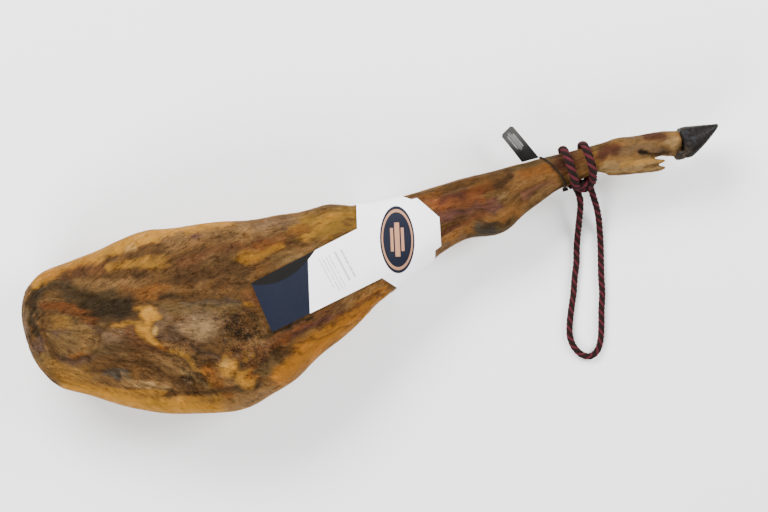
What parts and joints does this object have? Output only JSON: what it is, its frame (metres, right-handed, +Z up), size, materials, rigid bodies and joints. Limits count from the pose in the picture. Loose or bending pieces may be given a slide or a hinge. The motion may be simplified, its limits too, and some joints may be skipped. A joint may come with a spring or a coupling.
{
  "type": "cured ham",
  "caption": "Whole dry-cured ham on the bone, lying cut face up, with hoof, paper sleeve label, strap seal and twisted hanging rope loop.",
  "frame": {"origin": "on the table under the middle of the ham's box, measured without the rope's free loop", "axes": "+X along the leg from the rounded butt to the hoof, +Y across it towards the shin side, +Z up out of the shown cut face"},
  "size_m": [0.8258, 0.2873, 0.136],
  "materials": {
    "cured_meat": "oily cured fat, skin and dried meat",
    "horn": "dark horn with a dull gloss",
    "label_card": "coated white card with plain printed fields",
    "seal_plastic": "glossy black flexible plastic",
    "rope": "twisted cord, dark brown and dull red strands"
  },
  "bodies": {
    "root": {"ham": "cured_meat", "claw_upper": "horn", "claw_lower": "horn", "label": "label_card", "seal": "seal_plastic", "rope_hitch": "rope", "rope_loop": "rope"}
  },
  "joints": []
}
